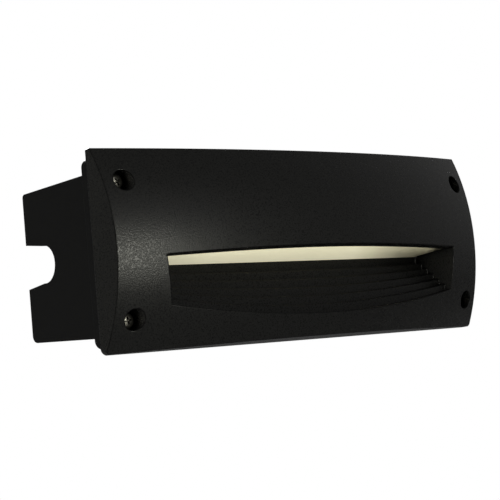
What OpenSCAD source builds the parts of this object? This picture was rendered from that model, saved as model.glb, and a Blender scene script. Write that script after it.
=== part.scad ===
// Recessed step light in brick format: a bowed cast bezel with a terraced light slot, a sealed lamp
// housing behind it, and an open-backed wall box that is built into the wall.
// X runs along the light, Y into the wall and Z up. The origin is the middle of the wall face.

/* [Bezel] */
// Width of the bezel at its back edge
bezel_w = 268; // [256:1:290]
// Height of the bezel at its back edge
bezel_h = 103.7; // [100:0.1:114]
// How much nearer the lower edge is to the screws' middle line than the upper edge
low_lift = 1.3; // [0:0.1:2]
// Depth of the bezel's side at its corners
bezel_edge = 2.5; // [2.4:0.1:6]
// Bow of the face between its top and bottom edges
bow_z = 13; // [11:0.5:15]
// Bow of the face between its two ends
bow_x = 18.2; // [16:0.2:21]
// Wall of the casting
bezel_wall = 3; // [2.6:0.1:3.2]
// Radius of the upper corners seen from the front
bezel_top_r = 2; // [1:0.5:4]
// Radius of the lower corners seen from the front
bezel_low_r = 4; // [2:0.5:6]
// Lean of the end walls towards the face, as a share of the depth
end_lean_share = 0.178; // [0.1:0.002:0.2]
// Lean of the top and bottom walls towards the face, as a share of the depth
edge_lean_share = 0.07; // [0.02:0.01:0.08]
// Gap between the bezel's back edge and the flange
seam_gap = 0.3; // [0.2:0.1:0.5]

/* [Light slot] */
// Distance from the bezel's end to the slot's upper corner
slot_margin = 28.85; // [27:0.05:38]
// Height of the slot's upper corners below the middle of the face
slot_top_drop = 4.1; // [3:0.1:6]
// Distance from the bezel's lower edge up to the slot's lower corners
slot_low_margin = 22.6; // [22:0.1:26]
// Extra drop of each terrace at mid-width, as a share of its drop at the ends
terrace_sag_share = 0.42; // [0.3:0.01:0.44]
// Depth of each terrace's tread
tread_depth = 4.8; // [4.2:0.1:5]
// Number of terraces
terrace_count = 6; // [4:1:6]
// Inward lean of the slot's end walls, as a share of the height
slot_lean_share = 0.118; // [0.05:0.002:0.15]
// Tilt of the slot's ceiling, higher at the front
ceiling_tilt = 5.5; // [4:0.1:7]

/* [Lens] */
// Distance from the slot's end wall to the window that the lens fills
window_margin = 2.15; // [2:0.05:8]
// Distance from the face to the window's front edge
window_lip = 7; // [6.5:0.1:8]
// Width of the lens's seat around the window
lens_seat = 3; // [2:0.5:3]
// Thickness of the deck that holds the lens
deck_t = 2.5; // [2:0.1:3]
// Thickness of the lens gasket
lens_gasket_t = 1; // [0.8:0.1:1.5]
// Thickness of the lens's rim
lens_rim_t = 2.5; // [2:0.1:3]

/* [Wall box] */
// Distance from the bezel's end to the flange's end
flange_side = 1; // [0.5:0.1:2]
// Distance from the bezel's lower edge to the flange's lower edge
flange_inset = 3.2; // [2.4:0.1:4]
// Thickness of the flange
flange_t = 5.7; // [4:0.1:7]
// Corner radius of the flange
flange_corner_r = 4.5; // [3:0.5:6]
// Width of the flange beside the end plates
flange_lip_side = 5.5; // [4.6:0.1:6]
// Width of the flange above and below the box
flange_lip = 6; // [5:0.1:6.6]
// Distance of the box's middle below the screws' middle line
box_drop = 0.6; // [0:0.1:1]
// Depth of the end plates behind the wall face
box_depth = 67.4; // [66:0.2:80]
// Reach of the end plates past the top and bottom walls
plate_reach = 7.4; // [4:0.2:16]
// Wall of the box
box_wall = 2.5; // [2:0.1:2.6]
// Lean of the box's top and bottom walls, as a share of the depth
box_lean_share = 0.028; // [0.01:0.001:0.03]
// Radius of the conduit notch
notch_r = 10; // [8:0.5:12]
// Distance from the notch's centre to the end plate's rear edge
notch_back = 17.4; // [14:0.2:20]
// Half angle of the notch's flare
notch_flare = 7; // [4:1:10]

/* [Bezel screws] */
// Distance from the bezel's end to a screw's axis
screw_side = 12.75; // [12:0.05:14]
// Distance from the bezel's upper edge to a screw's axis
screw_drop = 17.65; // [17:0.05:19]
// Diameter of the counterbore
counterbore_d = 10.7; // [9.6:0.1:11]
// Depth of the screw head's top below the rim of its counterbore
head_sink = 6; // [5:0.2:7]
// Diameter of the screw head
head_d = 8; // [7:0.1:8.4]
// Height of the screw head
head_t = 3.1; // [2.6:0.1:3.4]
// Diameter of the screw shank
shank_d = 4; // [3:0.1:4]
// Length of the screw under its head
screw_length = 20; // [18:1:22]

/* [Lamp housing] */
// Width of the lamp housing's flange beside its shell
shell_side = 4; // [3.6:0.1:4.4]
// Width of the lamp housing's flange above and below its shell
shell_edge = 5.5; // [5.2:0.1:6]
// Depth of the lamp housing's shell behind the wall face
shell_depth = 40; // [38:1:44]
// Wall of the lamp housing
shell_wall = 2.5; // [2:0.1:2.8]
// Gap between the lamp housing's flange and the screw bosses
rim_boss_gap = 0.75; // [0.5:0.05:1]
// Distance between the lamp housing's flange and the bezel gasket
rim_gasket_gap = 5.5; // [5:0.1:6]
// Thickness of the lamp housing's flange
rim_t = 3; // [2.4:0.1:3.2]
// Thickness of the lamp housing's gasket
rim_gasket_t = 1.5; // [1:0.1:2]

/* [Light module] */
// Distance from the window's end to the reflector's end
reflector_margin = 8; // [7:0.5:18]
// Height of the reflector
reflector_h = 10; // [8:0.5:11]
// Reach of the board past the reflector at each end
board_reach = 2; // [1:0.5:3]
// Depth of the board from front to back
board_d = 20; // [19:1:21]
// Thickness of the board
board_t = 1.6; // [1:0.2:2]
// Number of LED packages
led_count = 18; // [8:1:24]
// Distance from the board's end to the tray's end
tray_margin = 11; // [9:0.5:14]
// Thickness of the tray
tray_t = 2.5; // [2:0.1:3]

/* [Driver and terminals] */
// Space for the leads at the driver's left end
lead_space = 25.5; // [22:0.5:40]
// Gap between the driver and the terminal block
block_gap = 13; // [10:0.5:20]
// Distance from the terminal block to the housing's right wall
block_side = 10.5; // [9:0.5:14]
// Height of the driver
driver_h = 34; // [28:1:36]
// Gap between the tray and the driver
driver_gap = 2.9; // [2:0.1:6]
// Length of the terminal block
block_w = 32; // [28:1:34]
// Diameter of a lead over its insulation
lead_d = 1.8; // [1.4:0.1:2.2]

/* [Cable gland] */
// Diameter of the gland's thread
gland_d = 16; // [14:0.5:16.5]
// Diameter of the gland's clamping nut over its corners
gland_nut_d = 22; // [21:0.5:23]
// Diameter of the hole for the cable
cable_d = 8; // [6:0.5:9]

/* [Hidden] */
$fn = 48;
overrun = 1;
fine_fn = 360;
wide_fn = 1440;

black_coat = "#232320";
black_plastic = "#1f1f1e";

// Running clearance of a screw in its thread, and of a nut on its thread
thread_play = 0.05;
// Clearance of a screw in a plain hole
hole_play = 0.25;
// Clearance of a piece in its pocket
fit_gap = 0.1;

// The face: a ring whose tube gives the bow in height and whose sweep gives the bow in width
bezel_back = -flange_t - seam_gap;
face_edge_y = bezel_back - bezel_edge;
face_tip_y = face_edge_y - bow_x - bow_z;
bezel_top = (bezel_h + low_lift) / 2;
bezel_low = (bezel_h - low_lift) / 2;
sweep_r = (pow(bezel_w / 2, 2) + bow_x * bow_x) / (2 * bow_x);
tube_r = (bezel_top * bezel_top + bow_z * bow_z) / (2 * bow_z);
face_axis_y = face_edge_y - bow_x + sweep_r;
tube_centre_r = sweep_r + bow_z - tube_r;
ring_inner_r = sweep_r - bezel_h / 2;

// Distance from the sweep's axis to the face at a height
function face_r(z) = tube_centre_r + sqrt(tube_r * tube_r - z * z);
// Depth of the face at a place on it
function face_y(x, z) = face_axis_y - sqrt(pow(face_r(z), 2) - x * x);

// The slot's ceiling is the underside of a tilted deck that starts at the rear of the window
deck_y = 2.2;
deck_z = -6.5;
slot_w = bezel_w - 2 * slot_margin;
slot_top_z = -slot_top_drop;
slot_low_z = slot_low_margin - bezel_low;
window_w = slot_w - 2 * window_margin;
first_drop = 0.8;
terrace_end_drop = (deck_z - first_drop - slot_low_z) / terrace_count;
terrace_sag = terrace_sag_share * terrace_end_drop;
liner_wall = bezel_wall;
deck_w = slot_w + 2 * bezel_wall - overrun;
deck_back = 14;
lens_t = deck_t + lens_gasket_t + lens_rim_t;
lens_gap = 0.3;

function slot_half_w(z) = slot_w / 2 - slot_lean_share * (slot_top_z - z);
function terrace_end_z(k) = deck_z - first_drop - terrace_end_drop * k;
function terrace_y(k) = deck_y - tread_depth * (k - 1);
function arc_r(half_w, sag) = (half_w * half_w + sag * sag) / (2 * sag);

// Wall box
flange_w = bezel_w - 2 * flange_side;
flange_h = 2 * (bezel_low - flange_inset);
box_w = flange_w - 2 * flange_lip_side;
box_h = flange_h - 2 * flange_lip;
box_wall_depth = box_depth - plate_reach;
notch_depth = box_depth - notch_back;

// Corner screws
screw_x = bezel_w / 2 - screw_side;
screw_z = bezel_top - screw_drop;
rim_y = face_y(screw_x, screw_z);
head_top_y = rim_y + head_sink;
head_under_y = head_top_y + head_t;
seal_t = 1.2;
seat_y = head_under_y + seal_t;
boss_wall = 2.25;
boss_r = counterbore_d / 2 + boss_wall;
boss_foot_r = 5.5;
recess_w_share = 0.55;
recess_t_share = 0.12;
recess_depth_share = 0.55;
insert_r = 3.2;
insert_length = 8;
insert_sink = 0.5;
insert_front = insert_sink - flange_t;
box_boss_r = 4.5;
box_bore_depth = head_under_y + screw_length + 2 * overrun;
box_boss_floor = 2;
box_boss_depth = box_bore_depth + box_boss_floor;

// Gasket between the bezel's rib and the flange
gasket_t = 2;
gasket_w = 3.5;
rib_gap = 1.7;
rib_back = -flange_t - gasket_t;
rib_w = bezel_w - 2 * (bezel_wall + fit_gap + end_lean_share * (bezel_back - rib_back));
rib_h = 2 * (bezel_low - bezel_wall - rib_gap);
rib_r = 4;

// Rim that the lamp housing bolts to, and the housing's shell
rim_step = 3.5;
rim_back = bezel_back - rim_step;
rim_outer_gap = 0.5;
rim_w = 2 * (screw_x - boss_foot_r - rim_boss_gap);
rim_h = rib_h - 2 * gasket_w - 2 * rim_gasket_gap;
rim_side = shell_side;
rim_edge = shell_edge - rim_outer_gap;
rim_front_y = rim_back + rim_gasket_t;
rim_screw_edge = 2.2;
rim_screw_z = rim_h / 2 - rim_screw_edge;
rim_screw_x_shares = [-0.426, -0.148, 0.148, 0.426];
rim_screw_xs = [for (share = rim_screw_x_shares) share * rim_w];
rim_screw_r = 1.5;
rim_screw_head_r = 2.6;
rim_screw_head_t = 2.2;
rim_screw_length = 9;
shell_corner_r = 5;
shell_w = rim_w - 2 * shell_side;
shell_h = rim_h - 2 * shell_edge;
inner_w = shell_w - 2 * shell_wall;
inner_h = shell_h - 2 * shell_wall;

// The light module stands on the deck: heights are above the ceiling, along the deck's own upright
reflector_w = window_w - 2 * reflector_margin;
board_w = reflector_w + 2 * board_reach;
tray_w = board_w - 2 * tray_margin;
reflector_z = lens_t;
board_z = reflector_z + reflector_h;
tray_z = board_z + board_t;
stack_y = -14;
reflector_wall = 1.5;
reflector_mouth_d = 26;
reflector_throat_d = 10;
reflector_flange_t = 2.5;
led_w = 3.5;
led_d = 2.8;
led_t = 0.8;
led_end = 12;
led_run = board_w - 2 * led_end;
board_screw_r = 1.25;
board_screw_head_r = 2.3;
board_screw_head_t = 1.8;
board_screw_end = 11;
board_screw_x = tray_w / 2 - board_screw_end;
board_screw_edge = 2;
board_screw_dy = board_d / 2 - board_screw_edge;
tray_front = stack_y - board_d / 2 - overrun;
tray_leg_y = 4.5;
tray_foot_back = deck_back;
tray_screw_end = 8;
tray_screw_xs = [for (share = [-1, 0, 1]) share * (tray_w / 2 - tray_screw_end)];
tray_screw_y = 10.5;
tray_screw_r = 1.5;
tray_screw_head_r = 2.8;
tray_screw_head_t = 2;
tray_screw_length = 7;
boss_drop = 6;
connector_w = 8;
connector_d = 6;
connector_t = 4;
connector_end = 5;
connector_x = connector_end - board_w / 2;

// Driver and terminal block stand on the lamp housing's back wall
shell_inner_y = shell_depth - shell_wall;
tray_back_y = deck_y + tray_foot_back * cos(ceiling_tilt) + (deck_t + tray_t) * sin(ceiling_tilt);
driver_t = shell_inner_y - tray_back_y - driver_gap;
driver_ear_w = 8;
driver_w = inner_w - lead_space - 2 * driver_ear_w - block_gap - block_w - block_side;
driver_x = -inner_w / 2 + lead_space + driver_ear_w + driver_w / 2;
driver_drop_share = 0.06;
driver_z = -driver_drop_share * shell_h;
driver_ear_h = 10;
driver_ear_t = 2.5;
driver_pad_t = 3;
driver_pad_r = 3.5;
driver_pad_y = shell_inner_y - driver_pad_t;
driver_screw_x = driver_w / 2 + driver_ear_w / 2;
small_screw_r = 1.5;
small_head_r = 2.6;
small_head_t = 1.8;
block_x = inner_w / 2 - block_side - block_w / 2;
block_rise_share = 0.2;
block_z = block_rise_share * shell_h;
block_h = 20;
block_t = 16;
block_count = 3;
pole_pitch_share = 0.3125;
block_pitch = pole_pitch_share * block_w;
barrel_r = 2.4;
barrel_bore_r = 1.6;
barrel_y = shell_inner_y - block_t / 2;
clamp_r = 1.3;

// Earth screw and its ring tag on the tray's foot
earth_end = 36;
earth_x = tray_w / 2 - earth_end;
tag_r = 3.2;
tag_t = 0.8;
tag_reach = 9;
crimp_r = 1.6;
crimp_length = 4;

// Leads are tubes through a few points chosen by hand. Ends on the driver are a depth and a height,
// and the points between are offsets from the driver's end, a terminal's mouth or the crimp.
lead_sides = 8;
lead_steps = 6;
red_start = [27, 5];
red_turn = 5;
black_start = [23, 1];
black_turn = 9;
led_exit = [[0, 0, 0], [-3, 0, 0], [-6, 0, 0], [-14, -6, 4]];
led_turn_offset = [0, 8, 5];
led_entry = [-1, 0, 0];
brown_finish = [30, 4];
brown_bend = [[-5, 0, 4], [-13, 0, -2], [-18, 0, -12]];
blue_finish = [25, -2];
blue_bend = [[-4, -4, 3], [-16, -5, 2], [-24, -5, -8], [-28, -5, -18]];
pole_exit = [[0, 0, -3], [0, 0, 1]];
driver_entry = [[6, 0, 0], [3, 0, 0], [0, 0, 0]];
earth_bend = [[-2, -5, 3], [-8, -12, -1], [-16, -14, -12]];
crimp_entry = [[9, 1, 2], [5, 0, 0], [2, 0, 0], [-2, 0, 0]];

// Gland in the lamp housing's back wall
gland_side = 24.5;
gland_drop_share = 0.24;
gland_x = inner_w / 2 - gland_side;
gland_z = -gland_drop_share * shell_h;
gland_bore_r = gland_d / 2 + fit_gap;
thread_lead = 0.5;
gland_washer_w = 2;
gland_washer_t = 1;
gland_hex_t = 5;
gland_hex_d = 22;
gland_neck = 10;
locknut_t = 4;
gland_flange_y = shell_depth + gland_washer_t;
gland_neck_y = gland_flange_y + gland_hex_t;
gland_end_y = gland_neck_y + gland_neck;
gland_seal_r = 6.3;
gland_seal_y = gland_flange_y + gland_hex_t / 2;
gland_seal_stand = 1;
nut_gap = 1;
nut_reach = 5;
nut_front_y = gland_neck_y + nut_gap;
nut_back_y = gland_end_y + nut_reach;
nut_grip = 1.2;
nut_bore_gap = 1;

// An outline in X and Z pushed along Y
module along_y(from, to) {
    translate([0, to, 0])
        rotate([90, 0, 0])
            linear_extrude(to - from)
                children();
}

// An outline in Y and Z pushed along X, centred on the middle
module along_x(length) {
    translate([-length / 2, 0, 0])
        rotate([90, 0, 90])
            linear_extrude(length)
                children();
}

// A cylinder along Y
module rod(r, from, to) {
    translate([0, to, 0])
        rotate([90, 0, 0])
            cylinder(r = r, h = to - from);
}

module at_corners(dx, dz) {
    for (sx = [-1, 1])
        for (sz = [-1, 1])
            translate([sx * dx, 0, sz * dz])
                children();
}

// A rectangle with round corners
module round_rect(w, h, r) {
    square([w - 2 * r, h], center = true);
    square([w, h - 2 * r], center = true);
    for (sx = [-1, 1])
        for (sz = [-1, 1])
            translate([sx * (w / 2 - r), sz * (h / 2 - r)])
                circle(r);
}

// A flat frame along Y with the given widths of side and edge
module flat_frame(w, h, r, side, edge, from, to) {
    difference() {
        along_y(from, to)
            round_rect(w, h, r);
        along_y(from - overrun, to + overrun)
            square([w - 2 * side, h - 2 * edge], center = true);
    }
}

// The bowed solid that the face is cut from, or its inner side at an inset
module bowed(inset) {
    translate([0, face_axis_y, 0])
        rotate_extrude($fn = wide_fn)
            intersection() {
                translate([tube_centre_r, 0])
                    circle(tube_r - inset, $fn = fine_fn);
                translate([ring_inner_r, -bezel_h])
                    square([sweep_r, 2 * bezel_h]);
            }
}

// The casting's corners seen from the front, drawn in by an inset
module corner_outline(inset) {
    top_r = max(bezel_top_r - inset, 1);
    low_r = max(bezel_low_r - inset, 1);
    half = bezel_w / 2 - inset + fit_gap;
    top = bezel_top - inset + fit_gap;
    low = bezel_low - inset + fit_gap;
    difference() {
        translate([-half, -low])
            square([2 * half, low + top]);
        for (side = [-1, 1]) {
            corner_cut(side * half, top, side, 1, top_r);
            corner_cut(side * half, -low, side, -1, low_r);
        }
    }
}

// What rounding takes away at a corner
module corner_cut(x, z, sx, sz, r) {
    difference() {
        translate([x - sx * r / 2 + sx * overrun / 2, z - sz * r / 2 + sz * overrun / 2])
            square([r + overrun, r + overrun], center = true);
        translate([x - sx * r, z - sz * r])
            circle(r);
    }
}

// The casting's sides without its face, drawn in by an inset
module sided(inset, back) {
    reach = bezel_w / 4;
    end_half = bezel_w / 2 - inset;
    top = bezel_top - inset;
    low = bezel_low - inset;
    front = bezel_back - reach;
    intersection() {
        along_y(front, back)
            corner_outline(inset);
        translate([0, 0, -bezel_h])
            linear_extrude(2 * bezel_h)
                polygon([
                    [-end_half, bezel_back], [-end_half, back], [end_half, back], [end_half, bezel_back],
                    [end_half - end_lean_share * reach, front], [-end_half + end_lean_share * reach, front]
                ]);
        along_x(bezel_w)
            polygon([
                [bezel_back, -low], [back, -low], [back, top], [bezel_back, top],
                [front, top - edge_lean_share * reach], [front, -low + edge_lean_share * reach]
            ]);
    }
}

// Everything that lies within the face's outer skin
module within_face(inset) {
    intersection() {
        bowed(inset);
        sided(inset, bezel_back);
        children();
    }
}

// The slot's leaning end walls, in X and Z, grown by a wall
module slot_sides(wall) {
    top = slot_top_z + bezel_h / 4;
    low = terrace_end_z(terrace_count + 4);
    polygon([
        [-slot_half_w(top) - wall, top], [slot_half_w(top) + wall, top],
        [slot_half_w(low) + wall, low], [-slot_half_w(low) - wall, low]
    ]);
}

// The arc of one terrace, in X and Z, grown by a wall below
module terrace_arc(k, wall) {
    end_z = terrace_end_z(k);
    sag = terrace_sag * k;
    r = arc_r(slot_half_w(end_z), sag);
    translate([0, end_z - sag + r])
        circle(r + wall, $fn = ceil(r) * 6);
}

// The terraces inside the slot's end walls, grown by a wall
module terraces(wall) {
    intersection() {
        along_y(2 * face_tip_y, deck_y + 2 * bezel_wall)
            slot_sides(wall);
        for (k = [1:terrace_count])
            along_y(2 * face_tip_y, terrace_y(k) + wall)
                terrace_arc(k, wall);
    }
}

// Moves to the deck: X along it, Y back along it, Z square to it
module on_deck() {
    translate([0, deck_y, deck_z])
        rotate([-ceiling_tilt, 0, 0])
            children();
}

// Everything below a height over the ceiling
module below_deck(height) {
    reach = bezel_w / 2;
    on_deck()
        translate([-reach, -reach, height - reach])
            cube([2 * reach, 2 * reach, reach]);
}

// The window in the deck, grown by a margin
module window_outline(margin) {
    intersection() {
        translate([-window_w / 2 - margin, -bezel_h])
            square([window_w + 2 * margin, bezel_h + margin]);
        translate([0, face_axis_y - deck_y])
            circle(face_r(0) - window_lip + margin, $fn = wide_fn);
    }
}

module window_plate(margin, low, high) {
    on_deck()
        translate([0, 0, low])
            linear_extrude(high - low)
                window_outline(margin);
}

// The terraced recess of the slot, which the casting's liner follows with a wall
module slot_recess() {
    intersection() {
        below_deck(0);
        terraces(0);
    }
}

module slot_liner() {
    intersection() {
        below_deck(deck_t);
        terraces(liner_wall);
    }
}

module lens_deck() {
    on_deck()
        translate([-deck_w / 2, -bezel_h / 2, 0])
            cube([deck_w, bezel_h / 2 + deck_back, deck_t]);
    for (x = tray_screw_xs)
        on_deck()
            translate([x, tray_screw_y, -boss_drop])
                cylinder(r = tray_screw_r * 2, h = boss_drop + deck_t / 2);
}

module bezel_ribs() {
    flat_frame(rib_w, rib_h, rib_r, gasket_w, gasket_w, 2 * face_tip_y, rib_back);
    flat_frame(rim_w + 2 * rim_outer_gap, rim_h + 2 * rim_outer_gap, shell_corner_r, rim_side, rim_edge,
        2 * face_tip_y, rim_back);
    at_corners(screw_x, screw_z) {
        rod(boss_r, 2 * face_tip_y, rim_back);
        rod(boss_foot_r, rim_back - overrun, bezel_back);
    }
}

module bezel() {
    color(black_coat)
        difference() {
            union() {
                difference() {
                    within_face(0)
                        cube(2 * bezel_w, center = true);
                    intersection() {
                        bowed(bezel_wall);
                        sided(bezel_wall, bezel_back + overrun);
                    }
                }
                intersection() {
                    bowed(bezel_wall / 2);
                    sided(bezel_wall / 2, shell_depth);
                    union() {
                        slot_liner();
                        lens_deck();
                        bezel_ribs();
                    }
                }
            }
            slot_recess();
            flat_frame(rim_w + 2 * rim_outer_gap, rim_h + 2 * rim_outer_gap, shell_corner_r,
                rim_outer_gap + shell_side + shell_wall + fit_gap,
                rim_outer_gap + shell_edge + shell_wall + fit_gap, rim_back, bezel_back + overrun);
            window_plate(0, -overrun, deck_t + overrun);
            at_corners(screw_x, screw_z) {
                rod(counterbore_d / 2, 2 * face_tip_y, seat_y);
                rod(shank_d / 2 + hole_play, seat_y - overrun, bezel_back + overrun);
            }
            for (x = rim_screw_xs)
                for (sz = [-1, 1])
                    translate([x, 0, sz * rim_screw_z])
                        rod(rim_screw_r + thread_play, rim_back - rim_screw_length, rim_back + overrun);
            for (x = tray_screw_xs)
                on_deck()
                    translate([x, tray_screw_y, -boss_drop + overrun])
                        cylinder(r = tray_screw_r + thread_play, h = boss_drop + deck_t);
        }
}

module bezel_gasket() {
    color("#2c2c2c")
        flat_frame(rib_w, rib_h, rib_r, gasket_w, gasket_w, rib_back, -flange_t);
}

module screw_seals() {
    color("#38352f")
        at_corners(screw_x, screw_z)
            difference() {
                rod(head_d / 2, head_under_y, seat_y);
                rod(shank_d / 2 + thread_play, head_under_y - overrun, seat_y + overrun);
            }
}

module bezel_screw(sx, sz) {
    crown = head_t / 4;
    recess_w = recess_w_share * head_d;
    recess_t = recess_t_share * head_d;
    recess_depth = recess_depth_share * head_t;
    color("#b9b6ad")
        translate([sx * screw_x, 0, sz * screw_z])
            difference() {
                union() {
                    rod(head_d / 2, head_top_y + crown, head_under_y);
                    rod(head_d / 2 - crown, head_top_y, head_top_y + crown);
                    rod(shank_d / 2, head_under_y - crown, head_under_y + screw_length);
                }
                for (turn = [0, 90])
                    rotate([0, turn, 0])
                        translate([-recess_w / 2, head_top_y - overrun, -recess_t / 2])
                            cube([recess_w, recess_depth + overrun, recess_t]);
            }
}

module bezel_screw_top_left() {
    bezel_screw(-1, 1);
}

module bezel_screw_top_right() {
    bezel_screw(1, 1);
}

module bezel_screw_bottom_left() {
    bezel_screw(-1, -1);
}

module bezel_screw_bottom_right() {
    bezel_screw(1, -1);
}

// Top and bottom of the box at a depth
function box_top(y) = box_h / 2 - box_drop - box_lean_share * y;
function box_low(y) = -box_h / 2 - box_drop + box_lean_share * y;

// One end plate's outline in Y and Z, with round rear corners and the conduit notch
module end_plate_outline() {
    top_r = 2;
    low_r = 4;
    top = box_top(box_depth);
    low = box_low(box_depth);
    tip_y = notch_r * sin(notch_flare);
    tip_z = notch_r * cos(notch_flare);
    mouth_z = tip_z + (box_depth + overrun - notch_depth - tip_y) * tan(notch_flare);
    difference() {
        union() {
            polygon([
                [-flange_t / 2, box_low(0)], [-flange_t / 2, box_top(0)],
                [box_depth - top_r, box_top(box_depth - top_r)], [box_depth, top - top_r],
                [box_depth, low + low_r], [box_depth - low_r, box_low(box_depth - low_r)]
            ]);
            translate([box_depth - top_r, top - top_r])
                circle(top_r);
            translate([box_depth - low_r, low + low_r])
                circle(low_r);
        }
        translate([notch_depth, 0])
            circle(notch_r);
        polygon([
            [notch_depth + tip_y, tip_z], [box_depth + overrun, mouth_z],
            [box_depth + overrun, -mouth_z], [notch_depth + tip_y, -tip_z]
        ]);
        translate([notch_depth, -tip_z])
            square([notch_r, 2 * tip_z]);
    }
}

module wall_box() {
    hollow_w = box_w - 2 * box_wall;
    color(black_plastic)
        difference() {
            union() {
                difference() {
                    along_y(-flange_t, 0)
                        round_rect(flange_w, flange_h, flange_corner_r);
                    along_x(hollow_w)
                        polygon([
                            [-flange_t - overrun, box_top(0) - box_wall], [overrun, box_top(0) - box_wall],
                            [overrun, box_low(0) + box_wall], [-flange_t - overrun, box_low(0) + box_wall]
                        ]);
                }
                for (side = [-1, 1])
                    translate([side * (box_w - box_wall) / 2, 0, 0])
                        along_x(box_wall)
                            end_plate_outline();
                along_x(box_w - box_wall)
                    polygon([
                        [-flange_t / 2, box_top(0)],
                        [box_wall_depth, box_top(box_wall_depth)],
                        [box_wall_depth, box_top(box_wall_depth) - box_wall],
                        [-flange_t / 2, box_top(0) - box_wall]
                    ]);
                along_x(box_w - box_wall)
                    polygon([
                        [-flange_t / 2, box_low(0)],
                        [box_wall_depth, box_low(box_wall_depth)],
                        [box_wall_depth, box_low(box_wall_depth) + box_wall],
                        [-flange_t / 2, box_low(0) + box_wall]
                    ]);
                at_corners(screw_x, screw_z)
                    rod(box_boss_r, -flange_t, box_boss_depth);
            }
            at_corners(screw_x, screw_z) {
                rod(insert_r, -flange_t - overrun, insert_front + insert_length);
                rod(shank_d / 2 + hole_play, -flange_t, box_bore_depth);
            }
        }
}

module threaded_inserts() {
    color("#b08d4a")
        at_corners(screw_x, screw_z)
            difference() {
                rod(insert_r, insert_front, insert_front + insert_length);
                rod(shank_d / 2 + thread_play, insert_front - overrun, box_bore_depth);
            }
}

module lens() {
    color("#cdc7a3")
        union() {
            window_plate(-lens_gap, 0, deck_t + lens_gasket_t + lens_rim_t / 2);
            window_plate(lens_seat, deck_t + lens_gasket_t, lens_t);
        }
}

module lens_gasket() {
    color("#d8d8d2")
        difference() {
            window_plate(lens_seat, deck_t, deck_t + lens_gasket_t);
            window_plate(0, 0, lens_t);
        }
}

// The reflector's cross-section in Y and Z, drawn in by an inset on its slopes
module reflector_slope(inset) {
    mouth = reflector_mouth_d / 2 - inset;
    throat = reflector_throat_d / 2 + reflector_wall - inset;
    polygon([
        [stack_y - mouth, reflector_z], [stack_y + mouth, reflector_z],
        [stack_y + throat, board_z], [stack_y - throat, board_z]
    ]);
}

module reflector() {
    color("#f2f2ee")
        on_deck()
            difference() {
                union() {
                    along_x(reflector_w)
                        reflector_slope(0);
                    translate([-reflector_w / 2, stack_y - board_d / 2, board_z - reflector_flange_t])
                        cube([reflector_w, board_d, reflector_flange_t]);
                }
                along_x(reflector_w - 2 * reflector_wall)
                    reflector_slope(reflector_wall);
                for (x = [-board_screw_x, board_screw_x])
                    for (dy = [-board_screw_dy, board_screw_dy])
                        translate([x, stack_y + dy, board_z - reflector_flange_t - overrun])
                            cylinder(r = board_screw_r + thread_play, h = reflector_flange_t + 2 * overrun);
            }
}

module at_board_screws() {
    for (x = [-board_screw_x, board_screw_x])
        for (dy = [-board_screw_dy, board_screw_dy])
            translate([x, stack_y + dy, 0])
                children();
}

module led_board() {
    color("#eeeeea")
        on_deck()
            difference() {
                translate([-board_w / 2, stack_y - board_d / 2, board_z])
                    cube([board_w, board_d, board_t]);
                at_board_screws()
                    translate([0, 0, board_z - overrun])
                        cylinder(r = board_screw_r + fit_gap, h = board_t + 2 * overrun);
            }
}

module leds() {
    color("#e8d36a")
        on_deck()
            for (i = [0:led_count - 1])
                translate([led_run * (i / (led_count - 1) - 1 / 2), stack_y, board_z - led_t / 2])
                    cube([led_w, led_d, led_t], center = true);
}

module led_connector() {
    color("#f0efe9")
        on_deck()
            translate([connector_x, stack_y, board_z + board_t + connector_t / 2])
                difference() {
                    cube([connector_w, connector_d, connector_t], center = true);
                    for (dy = [-1, 1])
                        translate([-connector_w / 2, dy * connector_d / 4, 0])
                            rotate([0, 90, 0])
                                cylinder(d = lead_d + 2 * fit_gap, h = connector_w, center = true);
                }
}

module board_screws() {
    color("#c4c4c0")
        on_deck()
            at_board_screws() {
                translate([0, 0, tray_z + tray_t])
                    cylinder(r = board_screw_head_r, h = board_screw_head_t);
                translate([0, 0, board_z - reflector_flange_t])
                    cylinder(r = board_screw_r, h = reflector_flange_t + board_t + tray_t + overrun);
            }
}

// Pressed aluminium tray: a plate over the board, a leg behind it and a foot on the deck
module led_tray() {
    foot_z = deck_t;
    color("#b8bab9")
        on_deck()
            difference() {
                along_x(tray_w)
                    polygon([
                        [tray_front, tray_z], [tray_leg_y, tray_z], [tray_leg_y, foot_z],
                        [tray_foot_back, foot_z], [tray_foot_back, foot_z + tray_t],
                        [tray_leg_y + tray_t, foot_z + tray_t], [tray_leg_y + tray_t, tray_z + tray_t],
                        [tray_front, tray_z + tray_t]
                    ]);
                at_board_screws()
                    translate([0, 0, tray_z - overrun])
                        cylinder(r = board_screw_r + fit_gap, h = tray_t + 2 * overrun);
                for (x = tray_screw_xs)
                    translate([x, tray_screw_y, foot_z - overrun])
                        cylinder(r = tray_screw_r + fit_gap, h = tray_t + 2 * overrun);
                translate([earth_x, tray_screw_y, foot_z - overrun])
                    cylinder(r = small_screw_r + thread_play, h = tray_t + 2 * overrun);
            }
}

module tray_screws() {
    seat = deck_t + tray_t;
    color("#c4c4c0")
        on_deck()
            for (x = tray_screw_xs)
                translate([x, tray_screw_y, 0]) {
                    translate([0, 0, seat])
                        cylinder(r = tray_screw_head_r, h = tray_screw_head_t);
                    translate([0, 0, seat - tray_screw_length])
                        cylinder(r = tray_screw_r, h = tray_screw_length + overrun);
                }
}

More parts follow.
